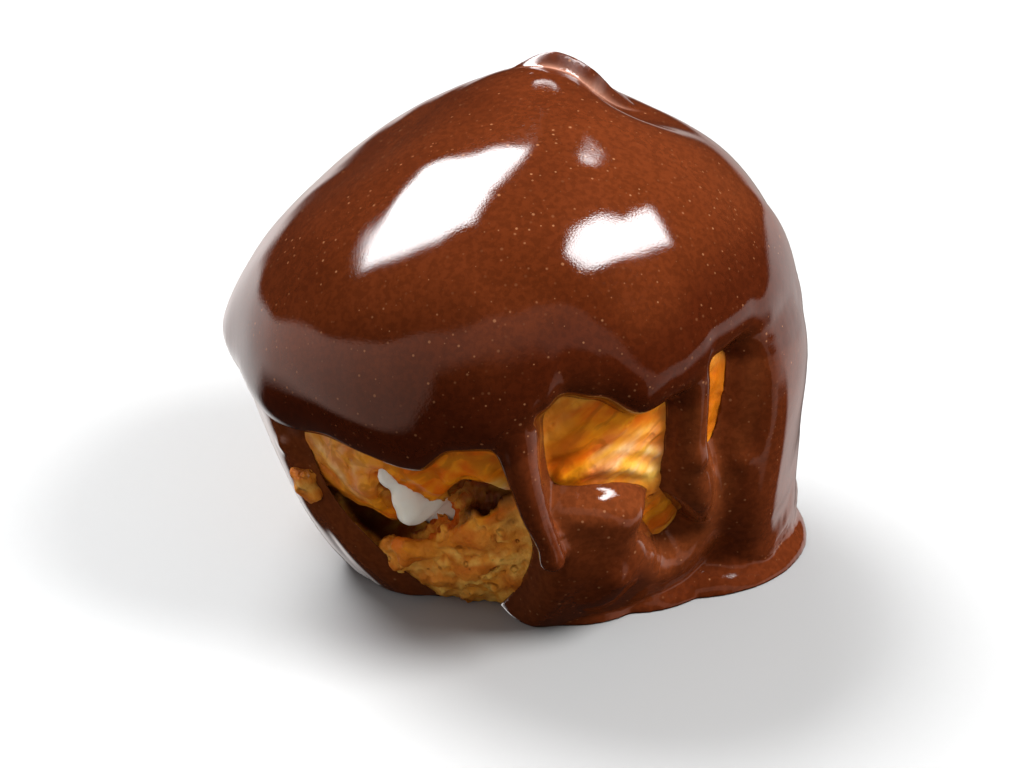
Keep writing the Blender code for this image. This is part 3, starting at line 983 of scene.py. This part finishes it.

# %% [markdown]
# ## The chocolate's finish
#
# Chocolate melted with cream is opaque, dark and wet, so most of what shows is what it mirrors. A plain
# glossy brown would do from afar. Here a low, uneven roughness and a hair of grain make the mirror, and
# the brown changes with the depth of the sauce: warm where it is thin on the roof. Painted shade makes it
# nearly black in the rolled lip at the front, and a painted highlight makes it salmon along the crease at
# the peak. How deep it is, and where the painted shade and highlight lie, was worked out for the shape, so
# it is stored on the vertices and read by name. The tiny pale specks are cocoa and air.

# %% How thick the sauce is, painted shade on its lip, its fold, and a painted highlight on its crease
# painted shade: on the front half, the lip is fully darkened up to LIP_DARK millimetres above its edge,
# and fades over LIP_FADE above that
LIP_DARK, LIP_FADE = 5.0, 10.0
UNDER_LIP, UNDER_FADE = -3.0, 2.0
# a painted highlight lies just in front of the peak's crease: how far in front, and how wide
CREASE_HIGHLIGHT_BACK = 0.1 * MM
CREASE_HIGHLIGHT_WIDTH = 0.22 * MM
SKINNED_FROM = 0.2  # share of the fold's height at which its skin is fully dull
FRONT_FADE = 0.2

points = points_of(sauce)
directions, far = directions_from_middle(points)
deep = (far - bun_reach(directions)) / MM
above_lip = (points[:, 2] - around(LIP, azimuth_of(directions))) / MM
dark = ease(1 - (above_lip - LIP_DARK) / LIP_FADE) * ease((above_lip - UNDER_LIP) / UNDER_FADE)
in_front = ease((FRONT_FADE - directions[:, 1]) / (2 * FRONT_FADE))
behind_by, ends = behind_fold(directions)
keep(
    sauce,
    thickness=deep,
    # lip: painted shade on the front of the rolled lip
    lip=dark * in_front,
    skinned=ease(fold_step(directions) / SKINNED_FROM),
    # crease: a painted highlight, a salmon line just in front of the peak's crease
    crease=ends * np.exp(-(((behind_by + CREASE_HIGHLIGHT_BACK) / CREASE_HIGHLIGHT_WIDTH) ** 2)),
)
print("the sauce stands up to", round(float(deep.max()), 1), "mm off the bun's skin")

# %% The chocolate material
BLACK, WHITE = (0, 0, 0, 1), (1, 1, 1, 1)
DARK_SAUCE, WARM_SAUCE = (0.068, 0.0125, 0.0030, 1), (0.090, 0.0175, 0.0045, 1)
# thin sauce over the pastry, and painted shade for the front of the rolled lip
THIN_SAUCE, SHADED_SAUCE = (0.150, 0.035, 0.009, 1), (0.030, 0.0035, 0.0008, 1)
DULLER, CLEARER = (0.86, 0.85, 0.84, 1), (1.12, 1.12, 1.12, 1)
THIN_BELOW, THICK_ABOVE = 2.0, 4.4  # millimetres of sauce
SPECK_COLOUR = (0.30, 0.125, 0.055, 1)
# a painted highlight: the salmon colour of the line along the peak's crease
CREASE_HIGHLIGHT_COLOUR = (0.40, 0.19, 0.13, 1)


def sauce_colour(tree, place):
    """Brown by depth, painted shade in the lip, finely mottled, pale specks, a painted crease highlight."""
    tint = effect(tree, MOTTLE, Vector=place, Scale=55.0, Low=DARK_SAUCE, High=WARM_SAUCE)
    thin = stepped(tree, stored(tree, "thickness"), THIN_BELOW, THICK_ABOVE, 0.75, 0.0)
    colour = blended(tree, thin, tint["Color"], THIN_SAUCE)
    # painted shade darkens the front of the rolled lip
    lip = stepped(tree, stored(tree, "lip"), 0.0, 1.0, 0.0, 0.6)
    colour = blended(tree, lip, colour, SHADED_SAUCE)
    fine = effect(tree, MOTTLE, Vector=place, Scale=1500.0, Low=DULLER, High=CLEARER)
    colour = blended(tree, 1.0, colour, fine["Color"], mode="MULTIPLY")
    specks = effect(tree, SPECKS, Vector=place, Scale=1250.0, Radius=0.21, Share=0.8)
    rare = math_node(tree, "POWER", specks["Random"], 1.9)
    lighter = product(tree, specks["Mask"], stepped(tree, rare, 0.0, 1.0, 0.08, 0.75))
    colour = blended(tree, lighter, colour, SPECK_COLOUR)
    # a painted highlight along the peak's crease
    return blended(tree, stored(tree, "crease"), colour, CREASE_HIGHLIGHT_COLOUR)


def sauce_finish(tree):
    """Wet and smooth, a little uneven, and duller on the fold's skin."""
    place = place_of(tree)
    grain = effect(tree, GRAIN, Vector=place, Scale=4600.0, Detail=2.0)
    gloss = effect(tree, MOTTLE, Vector=place, Scale=140.0, Low=BLACK, High=WHITE)
    smooth = stepped(tree, gloss["Mask"], 0.0, 1.0, 0.03, 0.06)
    skinned = product(tree, stored(tree, "skinned"), 0.26)
    return {
        "Base Color": sauce_colour(tree, place),
        "Roughness": math_node(tree, "MAXIMUM", smooth, skinned),
        "Normal": bumped(tree, grain["Height"], 0.007 * MM),
    }


wear(sauce, new_material("chocolate", sauce_finish, IOR=1.5))

# %% [markdown]
# ## The bun's finish
#
# One bun shows four surfaces: brown baked plates with paler cracks, golden moist skin drawn out in folds
# beside the sauce, rough crumb on the torn faces, and sauce that ran into the tear. Four materials would
# meet in hard lines. One material instead mixes four colours by masks stored on the mesh, so that each
# fades into the next, and the same masks make the moist parts glossier and smoother than the dry ones.
# Some masks paint light and shade as colour. The moist skin turns egg yellow on its fold crests as painted
# light. It is darker near the sauce's edges and in the slit, as stains and painted shade. Its veins, partly
# painted shade, are darkest in the valleys between folds. The sauce in the tear's pockets is darkened as
# painted shade.

# %% The baked skin and the moist skin
CRUST_BROWN, CRUST_GOLD = (0.60, 0.16, 0.014, 1), (0.84, 0.29, 0.035, 1)
CRACK_GOLD, CRACK_PALE = (0.84, 0.30, 0.03, 1), (0.95, 0.50, 0.10, 1)
WET_ORANGE, WET_GOLD = (0.76, 0.135, 0.001, 1), (0.90, 0.31, 0.008, 1)
# egg yellows, made paler as painted light on the lit fold crests
LIT_EGG_GOLD, LIT_EGG_PALE = (0.94, 0.60, 0.11, 1), (0.98, 0.83, 0.44, 1)
# the colour of skin stained by sauce, which is also painted shade
STAIN_AND_SHADE_COLOUR = (0.34, 0.085, 0.004, 1)
# the veins' colour, partly painted shade in the valleys between folds
VEIN_AND_SHADE_COLOUR = (0.42, 0.10, 0.003, 1)


def baked_colour(tree, place):
    """Brown plates with paler cracks between them."""
    skin = effect(tree, MOTTLE, Vector=place, Scale=260.0, Low=CRUST_BROWN, High=CRUST_GOLD)
    crack = effect(tree, MOTTLE, Vector=place, Scale=520.0, Low=CRACK_GOLD, High=CRACK_PALE)
    on_plate = stepped(tree, stored(tree, "plates"), 0.1, 0.65)
    return blended(tree, on_plate, crack["Color"], skin["Color"])


def moist_colour(tree, place):
    """Golden skin, drawn out along its folds' slant, egg yellow as painted light on the folds, with stains,
    painted shade and veins.
    """
    folds, pale = stored(tree, "folds"), stored(tree, "pale")
    slant = {"Vector": place, "Rotation": (0, -SLANT_RISE, SLANT_TURN), "Scale": (SLANT_STRETCH, 1, 1)}
    along = node(tree, "Mapping", slant, vector_type="TEXTURE").outputs[0]
    wet = effect(tree, MOTTLE, Vector=along, Scale=420.0, Low=WET_ORANGE, High=WET_GOLD)
    egg = effect(tree, MOTTLE, Vector=along, Scale=500.0, Low=LIT_EGG_GOLD, High=LIT_EGG_PALE)
    # painted light: in the pale places the fold crests turn egg yellow, as if lit
    light = product(tree, pale, stepped(tree, folds, 0.05, 0.55, 0.25, 1.0))
    colour = blended(tree, light, wet["Color"], egg["Color"])
    # painted shade, partly stained by sauce, near the sauce's edges and at the listed darker places
    colour = blended(tree, product(tree, stored(tree, "stain"), 0.86), colour, STAIN_AND_SHADE_COLOUR)
    patches = effect(tree, MOTTLE, Vector=along, Scale=330.0, Low=BLACK, High=WHITE)["Mask"]
    rims = product(tree, patches, math_node(tree, "SUBTRACT", 1.0, patches))
    # veins, partly painted shade: darkest in the valleys between folds, fainter on the pale crests
    vein_and_shade = product(tree, stepped(tree, rims, 0.10, 0.25), stepped(tree, folds, 0.1, 0.6, 0.55, 0.05))
    vein_and_shade = product(tree, vein_and_shade, stepped(tree, pale, 0.5, 1.0, 1.0, 0.3))
    return blended(tree, vein_and_shade, colour, VEIN_AND_SHADE_COLOUR)


print("egg yellow to stain:", LIT_EGG_PALE[:3], LIT_EGG_GOLD[:3], STAIN_AND_SHADE_COLOUR[:3])

# %% The crust material
CRUMB_DARK, CRUMB_PALE = (0.66, 0.12, 0.006, 1), (0.96, 0.40, 0.05, 1)
BURNT_COLOUR = (0.20, 0.06, 0.012, 1)
# the tear's sauce, nearly black as painted shade in the pockets
SAUCED_AND_SHADED_COLOUR = (0.055, 0.009, 0.002, 1)
PASTRY = {"IOR": 1.2, "Subsurface_Weight": 0.1, "Subsurface_Radius": (1.0, 0.5, 0.15)}


def bun_finish(tree):
    """Four surfaces mixed by the stored masks, with grain and pores where the bun is dry."""
    place = place_of(tree)
    moist, sauced = stored(tree, "moist"), stored(tree, "sauced")
    colour = blended(tree, moist, baked_colour(tree, place), moist_colour(tree, place))
    crumb = effect(tree, MOTTLE, Vector=place, Scale=480.0, Low=CRUMB_DARK, High=CRUMB_PALE)
    colour = blended(tree, stored(tree, "outer"), crumb["Color"], colour)
    burnt = effect(tree, SPECKS, Vector=place, Scale=900.0, Radius=0.3, Share=0.25)
    spots = product(tree, burnt["Mask"], stepped(tree, moist, 0.0, 0.6, 0.55, 0.1))
    colour = blended(tree, spots, colour, BURNT_COLOUR)
    wetness = math_node(tree, "MAXIMUM", moist, sauced)
    dry = stepped(tree, wetness, 0.0, 1.0, 1.0, 0.22)
    grain = effect(tree, GRAIN, Vector=place, Scale=1500.0, Detail=5.0)
    rough = bumped(tree, product(tree, grain["Height"], dry), 0.36 * MM)
    pores = effect(tree, SPECKS, Vector=place, Scale=520.0, Radius=0.32, Share=0.6)
    return {
        # the tear's pockets take the sauce colour, darkened as painted shade
        "Base Color": blended(tree, sauced, colour, SAUCED_AND_SHADED_COLOUR),
        "Roughness": stepped(tree, wetness, 0.0, 1.0, 0.6, 0.3),
        "Normal": bumped(tree, product(tree, pores["Mask"], dry), -0.5 * MM, under=rough),
    }


wear(bun, new_material("crust", bun_finish, Subsurface_Scale=1.5 * MM, **PASTRY))

# %% [markdown]
# ## The cream's finish
#
# Whipped cream is nearly white, warm in its shadows, and light goes a little way into it. White paint
# would look chalky. A small amount of subsurface scattering softens it, a wide mottle warms it in places,
# and a weak, fine bump stands for its bubbles.

# %% The whipped cream material
CREAM_WARM, CREAM_WHITE = (0.95, 0.88, 0.74, 1), (0.98, 0.94, 0.84, 1)
WHIPPED = {"Roughness": 0.3, "IOR": 1.45, "Subsurface_Weight": 0.1, "Subsurface_Radius": (1.0, 0.8, 0.6)}


def cream_finish(tree):
    """Warm and white patches, with fine bubbles."""
    place = place_of(tree)
    tint = effect(tree, MOTTLE, Vector=place, Scale=160.0, Low=CREAM_WARM, High=CREAM_WHITE)
    grain = effect(tree, GRAIN, Vector=place, Scale=900.0, Detail=4.0)
    return {"Base Color": tint["Color"], "Normal": bumped(tree, grain["Height"], 0.12 * MM, 0.6)}


wear(cream, new_material("whipped", cream_finish, Subsurface_Scale=1.2 * MM, **WHIPPED))

# %% [markdown]
# ## Camera and floor
#
# Small food is photographed from above and from some way off with a long lens, which keeps its sides
# straight. So the camera looks down at 30 degrees from 0.8 metres, and its lens is worked out from how
# many pixels a millimetre should take. The floor is one pale sheet. It would throw much light up under
# the sauce, so light that bounces off it finds it darker than the camera does.

# %% The camera
PHOTO_ELEVATION = 30
DISTANCE = 0.8
PIXELS_PER_MM = 9.35
IMAGE_WIDTH = 1024
SENSOR = 36.0
AIM = Vector((0, 0, 17.5)) * MM



def aimed(name, data, back):
    """A camera or lamp that looks along -Z, turned so that its back points in a direction."""
    thing = bpy.data.objects.new(name, data)
    thing.rotation_mode = "QUATERNION"
    thing.rotation_quaternion = back.to_track_quat("Z", "Y")
    bpy.context.scene.collection.objects.link(thing)
    return thing


back = Vector(towards(0, PHOTO_ELEVATION))
eye = aimed("camera", bpy.data.cameras.new("camera"), back)
bpy.context.scene.camera = eye
eye.data.sensor_width = SENSOR
eye.data.lens = PIXELS_PER_MM / MM * DISTANCE / IMAGE_WIDTH * SENSOR
eye.location = AIM + back * DISTANCE
eye.data.clip_start = 0.05
print("lens:", round(eye.data.lens), "mm")

# %% The floor
FLOOR_SIZE = 4.0
FLOOR_DROP = 0.1 * MM
FLOOR_PALE, FLOOR_BOUNCE = (0.34, 0.34, 0.34, 1), (0.12, 0.115, 0.11, 1)

bm = bmesh.new()
below = Matrix.Translation((0, 0, -FLOOR_DROP))
bmesh.ops.create_grid(bm, x_segments=1, y_segments=1, size=FLOOR_SIZE, matrix=below)
floor = new_object("floor", bm)
floor.visible_glossy = False


def floor_finish(tree):
    """Pale to the camera, darker to light that has bounced."""
    bounced = node(tree, "LightPath").outputs["Is Diffuse Ray"]
    return {"Base Color": blended(tree, bounced, FLOOR_PALE, FLOOR_BOUNCE)}


wear(floor, new_material("pale", floor_finish, Roughness=0.6))

# %% [markdown]
# ## Soft light, and softboxes for the sauce to mirror
#
# Two wide lamps behind the puff, one on each side, light its roof and cast two soft shadows. Glossy sauce
# also mirrors whatever glows, and its bright patches take the shape of the softboxes. Area lamps are only
# squares or discs, so each softbox is a flat sheet instead, cut to the shape that its patch should have,
# brightest in its middle as a real one is, and seen by reflections alone.

# %% Two soft lamps
LAMPS = (  # name, azimuth, elevation, angle, strength
    ("left_lamp", -140, 48, 30, 5.0),
    ("right_lamp", 82, 44, 30, 6.0),
)


for name, azimuth, elevation, angle, strength in LAMPS:
    lamp = bpy.data.lights.new(name, "SUN")
    lamp.angle = math.radians(angle)
    lamp.energy = strength
    aimed(name, lamp, Vector(towards(azimuth, elevation))).visible_glossy = False
print("lamps:", [row[0] for row in LAMPS])

# %% The softboxes
SOFTBOX_FAR = 0.8
SOFTBOX_SPREAD = 1.1  # how much larger a sheet is than its corners say
SOFTBOX_FADE = 0.26  # how far in from its rim, of the way to its middle, it reaches its full brightness
DAYLIGHT = (0.96, 0.98, 1, 1)
LEFT_CORNERS = (  # azimuth, elevation, in order round the sheet
    (-105, 33), (-132, 33), (-153, 28), (-167, 37.2), (-181.5, 38.6),
    (-181, 43), (-175, 57), (-135, 71), (-106, 60), (-101, 48),
)
RIGHT_CORNERS = ((80, 66), (117, 64), (121, 56), (115, 50), (128, 41), (108, 38), (100, 47), (71, 57))
SOFTBOXES = (  # name, corners, brightness
    ("left_softbox", LEFT_CORNERS, 24.0),
    ("right_softbox", RIGHT_CORNERS, 24.0),
    ("top_strip", ((-178, 22), (-178, 25), (-187, 24.5), (-188, 22.5)), 7.0),
    ("small_sheet", ((163, 38), (156, 38.5), (152, 41), (158, 43)), 9.0),
)


def softbox_sheet(name, corners):
    """A flat sheet facing the puff, with a number that is 0 at its rim and 1 in its middle."""
    bm = bmesh.new()
    inwards = bm.verts.layers.float.new("inwards")
    ring = bmesh.ops.create_circle(bm, segments=len(corners), radius=1.0, cap_ends=True)["verts"]
    ways = np.array([towards(*corner) for corner in corners])
    middle = ways.mean(axis=0) / np.linalg.norm(ways.mean(axis=0))
    for v, way in zip(ring, ways):
        v.co = MIDDLE + (middle + (way / (way @ middle) - middle) * SOFTBOX_SPREAD) * SOFTBOX_FAR
    bmesh.ops.poke(bm, faces=bm.faces[:])["verts"][0][inwards] = 1.0
    return new_object(name, bm)


def softbox(name, corners, strength):
    """A glowing sheet that only reflections see."""
    thing = softbox_sheet(name, corners)
    glow = bpy.data.materials.new(name)
    glow.use_nodes = True
    tree = glow.node_tree
    tree.nodes.clear()
    fading = stepped(tree, stored(tree, "inwards"), 0.0, SOFTBOX_FADE, 0.0, strength)
    shine = node(tree, "Emission", {"Color": DAYLIGHT, "Strength": fading})
    node(tree, "OutputMaterial", {"Surface": shine.outputs[0]})
    wear(thing, glow)
    thing.visible_camera = thing.visible_diffuse = thing.visible_shadow = False


for row in SOFTBOXES:
    softbox(*row)

# %% [markdown]
# ## The room that the sauce mirrors
#
# Between the softboxes the sauce mirrors the room: a pale band near the horizon, in front browner and
# higher, and dark above and below it. That band draws the light along the lip and the bright rims. A
# picture of a room would fix its details, and a plain white world would grey all of the sauce. So a table
# says how high and how low the band reaches at each azimuth, and colour ramps turn its columns into
# numbers for the world's shader. The camera sees plain white, and soft even light reaches everything.

# %% The band along the horizon
BAND = (  # azimuth, how high the pale band reaches, how low, how bright it is, and how brown
    (-180, -17, -26, 0.5, 0.3), (-172, -17, -32, 0.9, 0.2),
    (-165, -15, -42, 1.2, 0.1), (-158, -12, -46, 1.4, 0.05),
    (-150, -10, -46, 1.5, 0.05), (-140, -8, -42, 1.5, 0.05),
    (-130, -5, -34, 1.5, 0.1), (-118, -2, -22, 1.5, 0.4),
    (-104, 6, -20, 1.4, 0.7), (-82, 12, -26, 1.3, 0.8),
    (-63, 17, -28, 1.1, 1.0), (-50, 27, -26, 0.85, 1.0),
    (-40, 31, -20, 0.7, 1.0), (-34, 32, 12, 0.65, 1.0),
    (-20, 36, 20, 0.6, 1.0), (-8, 42, 25, 0.56, 1.0),
    (18, 49, 27, 0.54, 1.0), (36, 48, 16, 0.54, 1.0),
    (46, 41, -5, 0.54, 1.0), (52, 10, -40, 0.55, 0.9),
    (60, -5, -40, 0.55, 0.8), (80, -4, -22, 0.8, 0.5),
    (120, -4, -22, 1.0, 0.3), (145, -7, -40, 0.9, 0.2),
    (158, -10, -36, 0.7, 0.2), (170, -15, -30, 0.5, 0.3),
    (180, -17, -26, 0.5, 0.3),
)
COLUMNS = ((1, -90, 90), (2, -90, 90), (3, 0, 3), (4, 0, 1))  # column, and the least and most in it


def column_ramp(tree, turn, column, least, most):
    """A number that changes with the azimuth, read from one column of the band's table."""
    ramp = node(tree, "ValToRGB", {"Fac": turn})
    stops = ramp.color_ramp.elements
    while len(stops) > 1:
        stops.remove(stops[-1])
    for i, row in enumerate(BAND):
        stop = stops[0] if i == 0 else stops.new((row[0] + 180) / 360)
        stop.position = (row[0] + 180) / 360
        grey = (row[column] - least) / (most - least)
        stop.color = (grey, grey, grey, 1)
    return math_node(tree, "MULTIPLY_ADD", ramp.outputs[0], most - least, least)


print("the band is brightest at", max(BAND, key=lambda row: row[3])[0], "degrees")

# %% The world's shader
UPPER_EDGE, LOWER_EDGE = 1.5, 6.0  # half the degrees over which the band fades out
DIM_ROOM = 0.015
EVEN_LIGHT = 0.52
BACKDROP = 0.95
PALE_ROOM, BROWN_ROOM = (1, 0.99, 0.98, 1), (1.0, 0.56, 0.44, 1)


def pale_band(tree):
    """The band's colour and brightness in each direction."""
    way = node(tree, "SeparateXYZ", {0: node(tree, "TexCoord").outputs["Generated"]}).outputs
    turn = math_node(tree, "ARCTAN2", way[0], product(tree, way[1], -1.0))
    turn = math_node(tree, "MULTIPLY_ADD", turn, 1 / (2 * math.pi), 0.5)
    lift = product(tree, math_node(tree, "ARCSINE", way[2]), 180 / math.pi)
    high, low, bright, brown = (column_ramp(tree, turn, *column) for column in COLUMNS)
    under = stepped(tree, math_node(tree, "SUBTRACT", high, lift), -UPPER_EDGE, UPPER_EDGE)
    over = stepped(tree, math_node(tree, "SUBTRACT", lift, low), -LOWER_EDGE, LOWER_EDGE)
    glow = math_node(tree, "ADD", product(tree, product(tree, under, over), bright), DIM_ROOM)
    return blended(tree, brown, PALE_ROOM, BROWN_ROOM), glow


def background(tree, colour, strength):
    return node(tree, "Background", {"Color": colour, "Strength": strength}).outputs[0]


world = bpy.data.worlds.new("studio")
bpy.context.scene.world = world
world.use_nodes = True
tree = world.node_tree
tree.nodes.clear()
rays = node(tree, "LightPath").outputs
lit, behind = background(tree, WHITE, EVEN_LIGHT), background(tree, WHITE, BACKDROP)
mirrored = background(tree, *pale_band(tree))
for_light = node(tree, "MixShader", {0: rays["Is Glossy Ray"], 1: lit, 2: mirrored}).outputs[0]
for_all = node(tree, "MixShader", {0: rays["Is Camera Ray"], 1: for_light, 2: behind}).outputs[0]
node(tree, "OutputWorld", {"Surface": for_all})
bpy.context.scene.view_settings.view_transform = "Standard"
print("world nodes:", len(tree.nodes))
